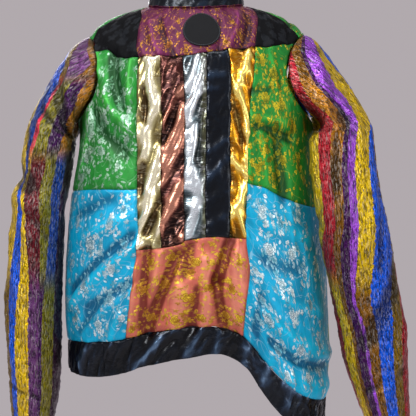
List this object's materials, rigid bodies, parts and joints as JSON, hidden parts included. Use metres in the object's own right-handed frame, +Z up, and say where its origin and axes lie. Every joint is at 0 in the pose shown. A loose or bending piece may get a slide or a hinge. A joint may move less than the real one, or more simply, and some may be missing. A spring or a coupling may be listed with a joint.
{
  "type": "bomber jacket",
  "caption": "Hollow patchwork bomber jacket with a panelled back, striped sleeves, stand collar, hem band, cuffs and a front zip whose pull tab swings.",
  "frame": {"origin": "middle of the neck's base ring, where the wearer's shoulders carry the jacket", "axes": "+X to the wearer's left, -Y to the front, +Z up along the body"},
  "size_m": [0.6927, 0.2769, 0.8088],
  "materials": {
    "plum_brocade": "satin brocade with a gold flower figure",
    "champagne_lame": "crumpled metallic foil cloth",
    "copper_lame": "crumpled metallic foil cloth",
    "silver_lame": "crumpled metallic foil cloth",
    "black_lame": "wet-look black metallic cloth",
    "gold_lame": "crumpled metallic foil cloth",
    "coral_brocade": "satin brocade with a gold rose figure",
    "black_jacquard": "black jacquard, tone on tone",
    "green_silver_brocade": "green satin brocade with silver flowers",
    "green_gold_brocade": "green satin brocade with gold flowers",
    "turquoise_brocade": "turquoise satin brocade with silver flowers",
    "patch_cloth": "plain woven black",
    "striped_metallic": "creped metallic cloth in lengthwise stripes",
    "zip_tape": "woven tape",
    "zip_metal": "plated metal"
  },
  "bodies": {
    "jacket": {"back_yoke_plum": "plum_brocade", "back_strip_champagne": "champagne_lame", "back_strip_copper": "copper_lame", "back_strip_silver": "silver_lame", "back_strip_black": "black_lame", "back_strip_gold": "gold_lame", "back_panel_coral": "coral_brocade", "back_yoke_left": "black_jacquard", "back_yoke_right": "black_jacquard", "back_side_green_left": "green_silver_brocade", "back_side_green_right": "green_gold_brocade", "back_side_turquoise_left": "turquoise_brocade", "back_side_turquoise_right": "turquoise_brocade", "front_left": "green_silver_brocade", "front_right": "green_gold_brocade", "hem_band_back": "black_lame", "hem_band_left": "black_lame", "hem_band_right": "black_lame", "collar": "black_lame", "back_patch": "patch_cloth", "sleeve_left": "striped_metallic", "sleeve_right": "striped_metallic", "cuff_left": "black_lame", "cuff_right": "black_lame", "zip_tape_left": "zip_tape", "zip_tape_right": "zip_tape", "zip_chain": "zip_metal", "zip_slider": "zip_metal"},
    "pull_tab": {"zip_pull_tab": "zip_metal"}
  },
  "joints": [
    {"name": "pull_tab_hinge", "type": "hinge", "parent": "jacket", "child": "pull_tab", "pos_m": [0, -0.08378, -0.05788], "axis": [-1, 0, 0], "range_deg": [0, 120]}
  ]
}
